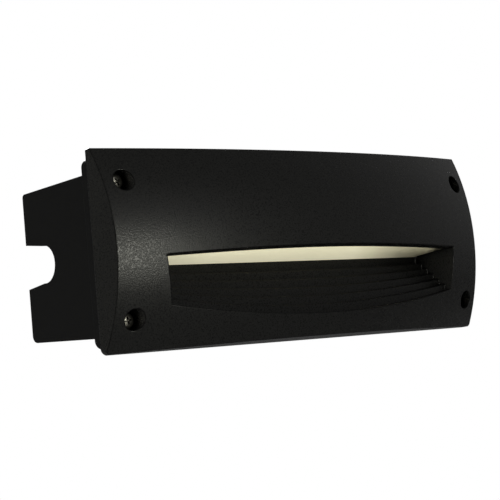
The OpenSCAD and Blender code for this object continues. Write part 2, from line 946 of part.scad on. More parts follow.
module lamp_housing() {
    color(black_plastic)
        difference() {
            union() {
                along_y(rim_front_y, rim_front_y + rim_t)
                    round_rect(rim_w, rim_h, shell_corner_r);
                difference() {
                    along_y(rim_front_y, shell_depth)
                        round_rect(shell_w, shell_h, shell_corner_r);
                    along_y(rim_front_y - overrun, shell_inner_y)
                        round_rect(inner_w, inner_h, shell_corner_r - shell_wall);
                }
                for (sx = [-1, 1])
                    translate([driver_x + sx * driver_screw_x, 0, driver_z])
                        rod(driver_pad_r, driver_pad_y, shell_inner_y + overrun);
            }
            along_y(rim_front_y - overrun, rim_front_y + rim_t + overrun)
                round_rect(inner_w, inner_h, shell_corner_r - shell_wall);
            for (x = rim_screw_xs)
                for (sz = [-1, 1])
                    translate([x, 0, sz * rim_screw_z])
                        rod(rim_screw_r + fit_gap, rim_front_y - overrun, rim_front_y + rim_t + overrun);
            for (sx = [-1, 1])
                translate([driver_x + sx * driver_screw_x, 0, driver_z])
                    rod(small_screw_r + thread_play, driver_pad_y - overrun, shell_depth - overrun);
            at_block_screws()
                rod(small_screw_r + thread_play, shell_inner_y - overrun, shell_depth - overrun);
            translate([gland_x, 0, gland_z])
                rod(gland_bore_r, shell_inner_y - overrun, shell_depth + overrun);
        }
}

module housing_gasket() {
    color("#2c2c2c")
        difference() {
            flat_frame(rim_w, rim_h, shell_corner_r, rim_side, rim_edge, rim_back, rim_front_y);
            for (x = rim_screw_xs)
                for (sz = [-1, 1])
                    translate([x, 0, sz * rim_screw_z])
                        rod(rim_screw_r + fit_gap, rim_back - overrun, rim_front_y + overrun);
        }
}

module housing_screws() {
    seat = rim_front_y + rim_t;
    color("#b9b6ad")
        for (x = rim_screw_xs)
            for (sz = [-1, 1])
                translate([x, 0, sz * rim_screw_z]) {
                    rod(rim_screw_head_r, seat, seat + rim_screw_head_t);
                    rod(rim_screw_r, seat - rim_screw_length, seat + overrun);
                }
}

module driver() {
    ear_y = driver_pad_y - driver_ear_t;
    color("#e4e4e0")
        translate([driver_x, 0, driver_z])
            difference() {
                union() {
                    along_y(shell_inner_y - driver_t, shell_inner_y)
                        square([driver_w, driver_h], center = true);
                    along_y(ear_y, ear_y + driver_ear_t)
                        square([driver_w + 2 * driver_ear_w, driver_ear_h], center = true);
                }
                for (sx = [-1, 1])
                    translate([sx * driver_screw_x, 0, 0])
                        rod(small_screw_r + fit_gap, ear_y - overrun, ear_y + driver_ear_t + overrun);
            }
}

// A small screw along Y with its head in front of a seat
module small_screw(seat, length) {
    rod(small_head_r, seat - small_head_t, seat);
    rod(small_screw_r, seat - small_head_t / 2, seat + length);
}

module driver_screws() {
    seat = driver_pad_y - driver_ear_t;
    color("#c4c4c0")
        for (sx = [-1, 1])
            translate([driver_x + sx * driver_screw_x, 0, driver_z])
                small_screw(seat, driver_ear_t + driver_pad_t + overrun / 2);
}

module at_block_screws() {
    for (sx = [-1, 1])
        translate([block_x + sx * block_pitch / 2, 0, block_z])
            children();
}

module at_poles() {
    for (i = [0:block_count - 1])
        translate([pole_x(i), 0, block_z])
            children();
}

module terminal_block() {
    front = shell_inner_y - block_t;
    color("#efeee8")
        difference() {
            translate([block_x - block_w / 2, front, block_z - block_h / 2])
                cube([block_w, block_t, block_h]);
            at_poles() {
                translate([0, barrel_y, -block_h / 2 - overrun])
                    cylinder(r = barrel_r, h = block_h + 2 * overrun);
                for (sz = [-1, 1])
                    translate([0, 0, sz * block_h / 4])
                        rod(clamp_r + 2 * fit_gap, front - overrun, barrel_y);
            }
            at_block_screws()
                rod(small_screw_r + fit_gap, front - overrun, shell_inner_y + overrun);
        }
}

module terminal_barrels() {
    color("#b08d4a")
        at_poles()
            difference() {
                translate([0, barrel_y, -block_h / 2 + overrun])
                    cylinder(r = barrel_r, h = block_h - 2 * overrun);
                translate([0, barrel_y, -block_h / 2])
                    cylinder(r = barrel_bore_r, h = block_h);
                for (sz = [-1, 1])
                    translate([0, 0, sz * block_h / 4])
                        rod(clamp_r + thread_play, barrel_y - 2 * barrel_r, barrel_y);
            }
}

module clamp_screws() {
    color("#c4c4c0")
        at_poles()
            for (sz = [-1, 1])
                translate([0, 0, sz * block_h / 4])
                    rod(clamp_r, barrel_y - 2 * barrel_r, barrel_y - barrel_bore_r / 2);
}

module block_screws() {
    color("#c4c4c0")
        at_block_screws()
            small_screw(shell_inner_y - block_t, block_t + overrun);
}

function spline(a, b, c, d, t) = 0.5 * (
    2 * b + (c - a) * t + (2 * a - 5 * b + 4 * c - d) * t * t + (3 * b - a - 3 * c + d) * t * t * t
);
function clamp_index(i, n) = max(0, min(n - 1, i));
function smooth_path(p) = concat(
    [for (i = [0:len(p) - 2]) for (s = [0:lead_steps - 1])
        spline(p[clamp_index(i - 1, len(p))], p[i], p[i + 1], p[clamp_index(i + 2, len(p))], s / lead_steps)],
    [p[len(p) - 1]]
);
function unit(v) = v / norm(v);
function tangent(p, i) = unit(p[clamp_index(i + 1, len(p))] - p[clamp_index(i - 1, len(p))]);
function ring_side(t) = unit(cross(t, abs(t[0]) < 0.9 ? [1, 0, 0] : [0, 1, 0]));
function carried(side, t) = unit(side - (side * t) * t);
function sides_along(p, i) =
    i == 0 ? ring_side(tangent(p, 0)) : carried(sides_along(p, i - 1), tangent(p, i));
function ring(centre, t, side, r) = [
    for (k = [0:lead_sides - 1])
        centre + r * (cos(360 * k / lead_sides) * side + sin(360 * k / lead_sides) * cross(t, side))
];

// A lead: a tube along a smooth curve through a few chosen points
module lead(points) {
    path = smooth_path(points);
    n = len(path);
    last = (n - 1) * lead_sides;
    rings = [
        for (i = [0:n - 1])
            each ring(path[i], tangent(path, i), sides_along(path, i), lead_d / 2)
    ];
    walls = [
        for (i = [0:n - 2])
            for (k = [0:lead_sides - 1])
                let (a = i * lead_sides + k, b = i * lead_sides + (k + 1) % lead_sides)
                    each [[a, b + lead_sides, b], [a, a + lead_sides, b + lead_sides]]
    ];
    caps = [
        for (k = [1:lead_sides - 2])
            each [[0, k, k + 1], [last, last + k + 1, last + k]]
    ];
    polyhedron(points = rings, faces = concat(walls, caps));
}

function deck_point(x, y, z) = [
    x,
    deck_y + y * cos(ceiling_tilt) + z * sin(ceiling_tilt),
    deck_z - y * sin(ceiling_tilt) + z * cos(ceiling_tilt)
];

function moved(points, by) = [for (p = points) p + by];

// From the driver's left end, round the left side, into the board connector
module led_lead(start, socket_dy, turn) {
    driver_end = [driver_x - driver_w / 2, start[0], start[1]];
    socket_z = board_z + board_t + connector_t / 2;
    mouth = deck_point(connector_x - connector_w / 2, stack_y + socket_dy, socket_z);
    lead(concat(
        moved(led_exit, driver_end),
        [
            mouth + [-turn, turn, -turn] + led_turn_offset,
            mouth + [-turn, turn / 2, 0],
            mouth + [-turn / 2, 0, 0],
            mouth + led_entry,
            mouth + [connector_w / 2, 0, 0]
        ]
    ));
}

module led_lead_red() {
    color("#8e1a16")
        led_lead(red_start, connector_d / 4, red_turn);
}

module led_lead_black() {
    color("#191919")
        led_lead(black_start, -connector_d / 4, black_turn);
}

function pole_x(i) = block_x + block_pitch * (i - (block_count - 1) / 2);
function pole_mouth(i) = [pole_x(i), barrel_y, block_z + block_h / 2];

// From the top of one terminal to the driver's right end
module input_lead(pole, bend, finish) {
    driver_end = [driver_x + driver_w / 2, finish[0], finish[1]];
    lead(concat(
        moved(pole_exit, pole_mouth(pole)),
        moved(bend, pole_mouth(pole)),
        moved(driver_entry, driver_end)
    ));
}

module input_lead_brown() {
    color("#5b3420")
        input_lead(0, brown_bend, brown_finish);
}

module input_lead_blue() {
    color("#274e86")
        input_lead(1, blue_bend, blue_finish);
}

module earth_lead() {
    crimp = deck_point(earth_x + tag_reach, tray_screw_y, deck_t + tray_t + crimp_r);
    color("#6f8f2e")
        lead(concat(
            moved(pole_exit, pole_mouth(2)),
            moved(earth_bend, pole_mouth(2)),
            moved(crimp_entry, crimp)
        ));
}

// Ring tag under the earth screw, with the crimp that holds the earth lead
module earth_tag() {
    seat = deck_t + tray_t;
    color("#c9c6b6")
        on_deck()
            difference() {
                union() {
                    translate([earth_x, tray_screw_y, seat])
                        cylinder(r = tag_r, h = tag_t);
                    translate([earth_x, tray_screw_y - crimp_r, seat])
                        cube([tag_reach, 2 * crimp_r, tag_t]);
                    translate([earth_x + tag_reach - crimp_length, tray_screw_y, seat + crimp_r])
                        rotate([0, 90, 0])
                            cylinder(r = crimp_r, h = crimp_length);
                }
                translate([earth_x, tray_screw_y, seat - overrun])
                    cylinder(r = small_screw_r + fit_gap, h = tag_t + 2 * overrun);
                translate([earth_x + tag_reach - crimp_length - overrun, tray_screw_y, seat + crimp_r])
                    rotate([0, 90, 0])
                        cylinder(d = lead_d + fit_gap, h = crimp_length + 2 * overrun);
            }
}

module earth_screw() {
    seat = deck_t + tray_t + tag_t;
    color("#5f8a3c")
        on_deck()
            translate([earth_x, tray_screw_y, 0]) {
                translate([0, 0, seat])
                    cylinder(r = small_head_r, h = small_head_t);
                translate([0, 0, deck_t + fit_gap])
                    cylinder(r = small_screw_r, h = seat - deck_t);
            }
}

module gland_body() {
    color("#2b2b2b")
        translate([gland_x, 0, gland_z])
            difference() {
                union() {
                    rod(gland_d / 2, shell_inner_y - locknut_t - thread_lead, gland_end_y);
                    rotate([-90, 0, 0])
                        translate([0, 0, gland_flange_y])
                            cylinder(d = gland_hex_d, h = gland_hex_t, $fn = 6);
                }
                rod(cable_d / 2 + hole_play, 0, gland_end_y + overrun);
                rod(gland_seal_r + fit_gap, gland_seal_y, gland_end_y + overrun);
            }
}

module gland_washer() {
    color("#2c2c2c")
        translate([gland_x, 0, gland_z])
            difference() {
                rod(gland_d / 2 + gland_washer_w, shell_depth, gland_flange_y);
                rod(gland_d / 2 + fit_gap, shell_depth - overrun, gland_flange_y + overrun);
            }
}

module gland_locknut() {
    color("#2b2b2b")
        translate([gland_x, 0, gland_z])
            difference() {
                rotate([-90, 0, 0])
                    translate([0, 0, shell_inner_y - locknut_t])
                        cylinder(d = gland_hex_d, h = locknut_t, $fn = 6);
                rod(gland_d / 2 + thread_play, 0, shell_depth);
            }
}

module gland_seal() {
    color("#3a3a38")
        translate([gland_x, 0, gland_z])
            difference() {
                rod(gland_seal_r, gland_seal_y, gland_end_y + gland_seal_stand);
                rod(cable_d / 2, 0, nut_back_y);
            }
}

// Clamping nut: a hexagon with a rounded outlet
module gland_nut() {
    dome_start = gland_end_y;
    color("#2b2b2b")
        translate([gland_x, 0, gland_z])
            difference() {
                intersection() {
                    rotate([-90, 0, 0])
                        translate([0, 0, nut_front_y])
                            cylinder(d = gland_nut_d, h = nut_back_y - nut_front_y, $fn = 6);
                    rotate([-90, 0, 0])
                        rotate_extrude()
                            polygon([
                                [0, nut_front_y],
                                [gland_nut_d / 2, nut_front_y],
                                [gland_nut_d / 2, dome_start],
                                [gland_nut_d / 2 - nut_grip, dome_start + nut_grip],
                                [gland_seal_r, nut_back_y], [0, nut_back_y]
                            ]);
                }
                rod(gland_d / 2 + thread_play, 0, gland_end_y + nut_grip);
                rod(cable_d / 2 + nut_bore_gap, 0, nut_back_y + overrun);
            }
}

wall_box();
threaded_inserts();
bezel();
bezel_gasket();
screw_seals();
lens();
lens_gasket();
reflector();
led_board();
leds();
led_connector();
board_screws();
led_tray();
tray_screws();
lamp_housing();
housing_gasket();
housing_screws();
driver();
driver_screws();
terminal_block();
terminal_barrels();
clamp_screws();
block_screws();
led_lead_red();
led_lead_black();
input_lead_brown();
input_lead_blue();
earth_lead();
earth_tag();
earth_screw();
gland_body();
gland_washer();
gland_locknut();
gland_seal();
gland_nut();
bezel_screw_top_left();
bezel_screw_top_right();
bezel_screw_bottom_left();
bezel_screw_bottom_right();
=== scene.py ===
import math

import bmesh
import bpy
from mathutils import Matrix, Vector


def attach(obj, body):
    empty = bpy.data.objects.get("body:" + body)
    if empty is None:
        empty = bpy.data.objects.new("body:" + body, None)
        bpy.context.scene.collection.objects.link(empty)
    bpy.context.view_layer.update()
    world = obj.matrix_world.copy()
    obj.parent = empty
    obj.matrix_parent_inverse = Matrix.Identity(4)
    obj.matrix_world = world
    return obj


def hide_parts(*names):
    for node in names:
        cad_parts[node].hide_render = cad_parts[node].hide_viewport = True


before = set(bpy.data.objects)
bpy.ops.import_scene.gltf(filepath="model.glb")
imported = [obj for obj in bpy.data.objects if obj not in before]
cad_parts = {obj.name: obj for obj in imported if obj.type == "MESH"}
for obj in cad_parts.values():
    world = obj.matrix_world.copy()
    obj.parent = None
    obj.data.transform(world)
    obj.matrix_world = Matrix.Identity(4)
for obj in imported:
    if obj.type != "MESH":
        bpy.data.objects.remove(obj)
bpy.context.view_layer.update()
scene = bpy.context.scene
scene.view_settings.view_transform = "Standard"

# Camera: stands to the left of the light, a little below it, and looks up and
# to the right. Its place, turn and lens come from a fit to the photo's edges.
photo_px = 500
focal_px = 1444.3
bezel_height = 0.105
yaw, pitch, roll = -0.69876, -0.07373, 0.08696
aim_right, aim_down, aim_far = 0.23589, -0.00993, 7.6488
frame_depth = 0.006

ahead = Vector((-math.sin(yaw) * math.cos(pitch), math.cos(yaw) * math.cos(pitch), -math.sin(pitch)))
across = Vector((math.cos(yaw), math.sin(yaw), 0))
below = ahead.cross(across)
right = across * math.cos(roll) + below * math.sin(roll)
down = below * math.cos(roll) - across * math.sin(roll)
eye = -(right * aim_right + down * aim_down + ahead * aim_far) * bezel_height
eye.y -= frame_depth

view_lens = bpy.data.cameras.new("photo_camera")
view_lens.sensor_width = 36
view_lens.lens = focal_px / photo_px * view_lens.sensor_width
view_lens.clip_start = 0.01
camera = bpy.data.objects.new("photo_camera", view_lens)
scene.collection.objects.link(camera)
camera.matrix_world = Matrix.Translation(eye) @ Matrix((right, -down, -ahead)).transposed().to_4x4()
scene.camera = camera

# Studio: a white backdrop straight behind the light, a dimmer room that darkens
# downwards and backwards, a narrow upright softbox for the highlight and a
# broad weak one in front, and soft lamps at the left, behind and at the right.


def linear(code):
    """An sRGB hex colour as the linear values that the shaders take."""
    parts = [int(code[i : i + 2], 16) / 255 for i in (1, 3, 5)]
    return [c / 12.92 if c <= 0.04045 else ((c + 0.055) / 1.055) ** 2.4 for c in parts] + [1]


def add_node(tree, kind, links=(), **settings):
    """Adds a node, sets its properties and inputs by name, and links (input, socket) pairs."""
    node = tree.nodes.new(kind)
    for key, value in settings.items():
        if hasattr(node, key):
            setattr(node, key, value)
        else:
            node.inputs[key.replace("_", " ")].default_value = value
    for name, socket in links:
        tree.links.new(socket, node.inputs[name])
    return node


room_light = 0.38
front_shine, right_shine, right_from, right_to = 0.21, 0.46, 0.55, 1.0
shaded_share, backward_fall, shaded_to, lit_from = 0.28, -0.35, -0.1, 0.3
backdrop_shine, backdrop_from, backdrop_to = 0.8, 0.93, 0.99
world = bpy.data.worlds.new("studio_room")
scene.world = world
world.use_nodes = True
tree = world.node_tree
tree.nodes.clear()
path = add_node(tree, "ShaderNodeLightPath")
bearing = add_node(tree, "ShaderNodeTexCoord")
axes = add_node(tree, "ShaderNodeSeparateXYZ", links=[("Vector", bearing.outputs["Generated"])])
shine = add_node(tree, "ShaderNodeMapRange", links=[("Value", axes.outputs["X"])],
                 From_Min=right_from, From_Max=right_to, To_Min=front_shine, To_Max=right_shine)
slant = add_node(tree, "ShaderNodeMath", operation="MULTIPLY_ADD",
                 links=[(0, axes.outputs["Y"]), (2, axes.outputs["Z"])])
slant.inputs[1].default_value = backward_fall
upward = add_node(tree, "ShaderNodeMapRange", links=[("Value", slant.outputs[0])],
                  From_Min=shaded_to, From_Max=lit_from, To_Min=shaded_share, To_Max=1.0)
room = add_node(tree, "ShaderNodeMath", operation="MULTIPLY",
                links=[(0, shine.outputs[0]), (1, upward.outputs[0])])
backdrop = add_node(tree, "ShaderNodeMapRange",
                    links=[("Value", axes.outputs["Y"]), ("To Min", room.outputs[0])],
                    From_Min=backdrop_from, From_Max=backdrop_to, To_Max=backdrop_shine)
mirrored = add_node(tree, "ShaderNodeMath", operation="MAXIMUM",
                    links=[(0, path.outputs["Is Glossy Ray"]), (1, path.outputs["Is Transmission Ray"])])
level = add_node(tree, "ShaderNodeMix", A=room_light,
                 links=[("Factor", mirrored.outputs[0]), ("B", backdrop.outputs[0])])
level = add_node(tree, "ShaderNodeMix", B=1.0,
                 links=[("Factor", path.outputs["Is Camera Ray"]), ("A", level.outputs[0])])
sky = add_node(tree, "ShaderNodeBackground", links=[("Strength", level.outputs[0])], Color=(1, 1, 1, 1))
add_node(tree, "ShaderNodeOutputWorld", links=[("Surface", sky.outputs[0])])


def softbox(name, place, aim, width, height, watts):
    """A rectangular lamp that faces a point."""
    data = bpy.data.lights.new(name, "AREA")
    data.shape = "RECTANGLE"
    data.size, data.size_y = width, height
    data.energy = watts
    lamp = bpy.data.objects.new(name, data)
    scene.collection.objects.link(lamp)
    lamp.location = place
    lamp.rotation_euler = (Vector(aim) - Vector(place)).to_track_quat("-Z", "Y").to_euler()
    return lamp


highlight = softbox("narrow_front_softbox", (0.04, -1.32, 0.02), (-0.12, -0.03, 0), width=0.14,
                    height=0.38, watts=9.9)
highlight.data.color = (1.0, 1.0, 0.88)
highlight.visible_diffuse = False
softbox("broad_front_softbox", (0.15, -1.2, 0.42), (-0.1, -0.03, 0), width=0.45, height=0.5, watts=0.8)
softbox("left_softbox", (-1.25, -0.33, 0), (0.05, -0.03, 0), width=0.5, height=0.7,
        watts=12).visible_glossy = False
softbox("rear_softbox", (0.5, 1.1, 0.7), (0, 0, 0), width=0.4, height=0.4, watts=18)
softbox("right_rear_softbox", (1.2, 0.35, 0.3), (0, 0.02, 0), width=0.5, height=0.7,
        watts=18).visible_glossy = False

floor_drop, floor_radius = 0.3, 1.0
white_seen, white_mirrored, glow_mirrored = 0.8, 0.9, 0.06
floor_mesh = bpy.data.meshes.new("pale_floor")
disc = bmesh.new()
bmesh.ops.create_circle(disc, cap_ends=True, segments=128, radius=floor_radius)
disc.to_mesh(floor_mesh)
disc.free()
floor_mesh.transform(Matrix.Translation((0, 0, -floor_drop)))
floor = bpy.data.objects.new("pale_floor", floor_mesh)
scene.collection.objects.link(floor)
floor_paint = bpy.data.materials.new("matt_white_floor_paint")
floor_paint.use_nodes = True
tree = floor_paint.node_tree
tree.nodes.clear()
path = add_node(tree, "ShaderNodeLightPath")
mirrored = add_node(tree, "ShaderNodeMath", operation="MAXIMUM",
                    links=[(0, path.outputs["Is Glossy Ray"]), (1, path.outputs["Is Transmission Ray"])])
share = add_node(tree, "ShaderNodeMapRange", links=[("Value", mirrored.outputs[0])],
                 To_Min=0.0, To_Max=white_mirrored)
share = add_node(tree, "ShaderNodeMix", B=white_seen,
                 links=[("Factor", path.outputs["Is Camera Ray"]), ("A", share.outputs[0])])
matt = add_node(tree, "ShaderNodeBsdfDiffuse", Color=linear("#e6e6e6"))
shown = add_node(tree, "ShaderNodeMix", A=glow_mirrored, B=1.0,
                 links=[("Factor", path.outputs["Is Camera Ray"])])
white = add_node(tree, "ShaderNodeEmission", links=[("Strength", shown.outputs[0])], Color=(1, 1, 1, 1))
both = add_node(tree, "ShaderNodeMixShader",
                links=[(0, share.outputs[0]), (1, matt.outputs[0]), (2, white.outputs[0])])
add_node(tree, "ShaderNodeOutputMaterial", links=[("Surface", both.outputs[0])])
floor_mesh.materials.append(floor_paint)

# Wall box: one injection moulding in black glass-filled nylon. It stays in the
# wall, where only its flange's edge shows. Its spark eroded grain, a tenth of a
# millimetre across in reality, is drawn coarser here so that it shows.
tone_from, tone_to = 0.35, 0.65
shine_from, shine_to = 0.3, 0.7
dome_centre, dome_edge, dome_top, dome_foot = 0.1, 0.8, 0.75, 0.25


def finish(name, low, high, roughness, spacing_mm, height_mm, metallic=0.0, specular=0.5, edge_mm=0.3,
           stretch=(1, 1, 1), mottle=0.15, domed=False, painted_nook_shade=(), painted_edge_shade=()):
    """A finish whose two tones, shine and relief follow one grain in object space.

    The grain is cloudy, or one of small domes, spacing_mm apart and height_mm high, and drawn out
    where stretch is under 1. It varies the roughness by the share mottle, and edges look rounded by
    edge_mm. Painted shade darkens closed-in places, given as a reach in mm and the open shares at
    which such a place is black and clear, and it draws a dark line along sharp turns, given the same
    way as cosines of what the rounding turns the surface by.
    """
    material = bpy.data.materials.new(name)
    material.use_nodes = True
    tree = material.node_tree
    shader = tree.nodes["Principled BSDF"]
    shader.inputs["Metallic"].default_value = metallic
    shader.inputs["Specular IOR Level"].default_value = specular
    place = add_node(tree, "ShaderNodeTexCoord")
    drawn = add_node(tree, "ShaderNodeMapping", Scale=stretch,
                     links=[("Vector", place.outputs["Object"])])
    if domed:
        cells = add_node(tree, "ShaderNodeTexVoronoi", links=[("Vector", drawn.outputs["Vector"])],
                         Scale=1000 / spacing_mm)
        grain = add_node(tree, "ShaderNodeMapRange", links=[("Value", cells.outputs["Distance"])],
                         From_Min=dome_centre, From_Max=dome_edge, To_Min=dome_top, To_Max=dome_foot)
    else:
        grain = add_node(tree, "ShaderNodeTexNoise", links=[("Vector", drawn.outputs["Vector"])],
                         Scale=1000 / spacing_mm, Detail=2.0)
    tones = add_node(tree, "ShaderNodeValToRGB", links=[("Fac", grain.outputs[0])])
    for element, position, code in zip(tones.color_ramp.elements, (tone_from, tone_to), (low, high)):
        element.position = position
        element.color = linear(code)
    shine = add_node(tree, "ShaderNodeMapRange", links=[("Value", grain.outputs[0])],
                     From_Min=shine_from, From_Max=shine_to,
                     To_Min=roughness * (1 - mottle), To_Max=roughness * (1 + mottle))
    tree.links.new(shine.outputs[0], shader.inputs["Roughness"])
    edge = add_node(tree, "ShaderNodeBevel", Radius=edge_mm / 1000, samples=8 if painted_edge_shade else 4)
    # Painted shade: the base colour goes towards black in closed-in places and along sharp edges.
    painted_shade_masks = []
    if painted_nook_shade:
        closed = add_node(tree, "ShaderNodeAmbientOcclusion", Distance=painted_nook_shade[0] / 1000, samples=8)
        painted_shade_masks.append((closed.outputs["AO"], *painted_nook_shade[1:]))
    if painted_edge_shade:
        flat = add_node(tree, "ShaderNodeNewGeometry")
        turn = add_node(tree, "ShaderNodeVectorMath", operation="DOT_PRODUCT",
                        links=[(0, edge.outputs["Normal"]), (1, flat.outputs["Normal"])])
        painted_shade_masks.append((turn.outputs["Value"], *painted_edge_shade))
    colour = tones.outputs["Color"]
    for measure, black_at, clear_at in painted_shade_masks:
        kept = add_node(tree, "ShaderNodeMapRange", links=[("Value", measure)],
                        From_Min=black_at, From_Max=clear_at)
        shade_painted_colour = add_node(tree, "ShaderNodeMix", data_type="RGBA",
                          links=[(0, kept.outputs[0]), (7, colour)])
        shade_painted_colour.inputs[6].default_value = (0, 0, 0, 1)
        colour = shade_painted_colour.outputs[2]
    tree.links.new(colour, shader.inputs["Base Color"])
    bump = add_node(tree, "ShaderNodeBump", Strength=1.0, Distance=height_mm / 1000,
                    links=[("Height", grain.outputs[0]), ("Normal", edge.outputs["Normal"])])
    tree.links.new(bump.outputs["Normal"], shader.inputs["Normal"])
    return material


def shade(form, angle_deg=30):
    """Smooth faces, with edges sharp where they turn by more than an angle."""
    for face in form.faces:
        face.smooth = True
    for edge in form.edges:
        edge.smooth = len(edge.link_faces) == 2 and edge.calc_face_angle(0) < math.radians(angle_deg)


def place_piece(name, mesh, node, body, material):
    """Makes a mesh the piece that stands for a CAD node, in one material, on its body."""
    mesh.name = name
    mesh.materials.clear()
    mesh.materials.append(material)
    piece = bpy.data.objects.new(name, mesh)
    scene.collection.objects.link(piece)
    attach(piece, body)
    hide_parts(node)
    return piece


def welded(node):
    """A CAD node's mesh with its loose triangles joined."""
    form = bmesh.new()
    form.from_mesh(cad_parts[node].data)
    bmesh.ops.remove_doubles(form, verts=form.verts, dist=1e-6)
    return form


def skin(name, node, body, material, angle_deg=30, reshape=None):
    """A welded and smoothly shaded copy of a CAD node, as a piece, its shape finished by reshape."""
    form = welded(node)
    if reshape:
        reshape(form)
    shade(form, angle_deg)
    mesh = bpy.data.meshes.new(name)
    form.to_mesh(mesh)
    form.free()
    return place_piece(name, mesh, node, body, material)


moulded_nylon = finish("grained_black_nylon", "#0d0d0d", "#121211", roughness=0.5, spacing_mm=0.7,
                       height_mm=0.05, specular=0.04, edge_mm=0.4)
skin("wall_box_moulding", "wall_box", "wall_box", moulded_nylon)

# Threaded inserts: free-turned brass bushes with two knurled bands, pressed hot
# into the box's four corner bosses, to take the bezel screws.


def lathe(profile, segments=48, ring=False):
    """A closed form turned about Z from (radius, height, tooth) rows in mm.

    A tooth draws in every other point of its row. A ring's last row joins its first.
    """
    form = bmesh.new()
    rows = []
    for radius, height, *tooth in profile:
        if radius == 0:
            rows.append([form.verts.new((0, 0, height / 1000))])
            continue
        row = []
        for k in range(segments):
            reach = (radius - (tooth[0] if tooth and k % 2 else 0)) / 1000
            turn = 2 * math.pi * k / segments
            row.append(form.verts.new((reach * math.cos(turn), reach * math.sin(turn), height / 1000)))
        rows.append(row)
    pairs = list(zip(rows, rows[1:])) + ([(rows[-1], rows[0])] if ring else [])
    for low, high in pairs:
        for k in range(segments):
            n = k + 1
            corners = [low[k % len(low)], low[n % len(low)], high[n % len(high)], high[k % len(high)]]
            form.faces.new(list(dict.fromkeys(corners)))
    bmesh.ops.recalc_face_normals(form, faces=form.faces)
    return form


def seats(node, direction):
    """Where each solid of a CAD node starts along a direction, with its reach and radius, in metres."""
    form = welded(node)
    direction = Vector(direction).normalized()
    side = direction.orthogonal().normalized()
    other = direction.cross(side)
    left = set(form.verts)
    found = []
    while left:
        solid, edge_of_solid = set(), [left.pop()]
        while edge_of_solid:
            vert = edge_of_solid.pop()
            solid.add(vert)
            for link in vert.link_edges:
                near = link.other_vert(vert)
                if near in left:
                    left.discard(near)
                    edge_of_solid.append(near)
        spans = []
        for axis in (direction, side, other):
            reach = [vert.co.dot(axis) for vert in solid]
            spans.append((min(reach), max(reach)))
        middles = [axis * (low + high) / 2 for axis, (low, high) in zip((side, other), spans[1:])]
        start, end = spans[0]
        width = spans[1][1] - spans[1][0]
        found.append((sum(middles, Vector()) + direction * start, end - start, width / 2))
    form.free()
    return sorted(found, key=lambda seat: tuple(seat[0]))


seat_tree = bpy.data.node_groups.new("pieces_on_seats", "GeometryNodeTree")
for label, kind in (("Seats", "NodeSocketGeometry"), ("Piece", "NodeSocketObject"),
                    ("Lean", "NodeSocketVector"), ("Turn Step", "NodeSocketFloat"),
                    ("Finish", "NodeSocketMaterial")):
    seat_tree.interface.new_socket(label, in_out="INPUT", socket_type=kind)
seat_tree.interface.new_socket("Pieces", in_out="OUTPUT", socket_type="NodeSocketGeometry")
given = add_node(seat_tree, "NodeGroupInput")
source = add_node(seat_tree, "GeometryNodeObjectInfo", links=[("Object", given.outputs["Piece"])],
                  As_Instance=True)
set_down = add_node(seat_tree, "GeometryNodeInstanceOnPoints",
                    links=[("Points", given.outputs["Seats"]), ("Instance", source.outputs["Geometry"]),
                           ("Rotation", given.outputs["Lean"])])
number = add_node(seat_tree, "GeometryNodeInputIndex")
angle = add_node(seat_tree, "ShaderNodeMath", operation="MULTIPLY",
                 links=[(0, number.outputs[0]), (1, given.outputs["Turn Step"])])
spin = add_node(seat_tree, "ShaderNodeCombineXYZ", links=[("Z", angle.outputs[0])])
turned = add_node(seat_tree, "GeometryNodeRotateInstances",
                  links=[("Instances", set_down.outputs[0]), ("Rotation", spin.outputs[0])],
                  Local_Space=True)
real = add_node(seat_tree, "GeometryNodeRealizeInstances", links=[("Geometry", turned.outputs[0])])
coated = add_node(seat_tree, "GeometryNodeSetMaterial",
                  links=[("Geometry", real.outputs[0]), ("Material", given.outputs["Finish"])])
add_node(seat_tree, "NodeGroupOutput", links=[(0, coated.outputs[0])])


def repeat(name, node, direction, form, body, material, turn_step=1.1):
    """Sets a form on every solid of a CAD node, its -Z along the direction, each turned one step on."""
    points = bpy.data.meshes.new("seats")
    points.from_pydata([seat[0] for seat in seats(node, direction)], [], [])
    holder = bpy.data.objects.new("seats", points)
    pattern_mesh = bpy.data.meshes.new("pattern")
    shade(form)
    form.to_mesh(pattern_mesh)
    form.free()
    pattern = bpy.data.objects.new("pattern", pattern_mesh)
    scene.collection.objects.link(holder)
    scene.collection.objects.link(pattern)
    nodes = holder.modifiers.new("pieces_on_seats", "NODES")
    nodes.node_group = seat_tree
    lean = Vector(direction).to_track_quat("-Z", "Y").to_euler()
    values = {"Piece": pattern, "Lean": list(lean), "Turn Step": turn_step, "Finish": material}
    for item in seat_tree.interface.items_tree:
        if item.in_out == "INPUT" and item.name in values:
            nodes[item.identifier] = values[item.name]
    mesh = bpy.data.meshes.new_from_object(holder.evaluated_get(bpy.context.evaluated_depsgraph_get()))
    for used in (holder, pattern):
        data = used.data
        bpy.data.objects.remove(used)
        bpy.data.meshes.remove(data)
    return place_piece(name, mesh, node, body, material)


turned_brass = finish("free_turned_brass", "#a8853f", "#c09a52", roughness=0.28, spacing_mm=0.5,
                      height_mm=0.004, metallic=1.0, edge_mm=0.1)
into_wall = (0, 1, 0)
_, insert_length, insert_radius = seats("threaded_inserts", into_wall)[0]
length, radius = insert_length * 1000, insert_radius * 1000
bore, knurl, chamfer = 2.05, 0.16, 0.3
upper_band, groove_top, groove_foot, lower_band = (-length * share for share in (0.42, 0.45, 0.55, 0.58))
insert = lathe([(bore, 0), (radius - chamfer, 0), (radius, -chamfer, knurl), (radius, upper_band, knurl),
                (radius - knurl, groove_top), (radius - knurl, groove_foot), (radius, lower_band, knurl),
                (radius, -length + chamfer, knurl), (radius - chamfer, -length), (bore, -length)],
               segments=96, ring=True)
repeat("knurled_brass_inserts", "threaded_inserts", into_wall, insert, "wall_box", turned_brass)
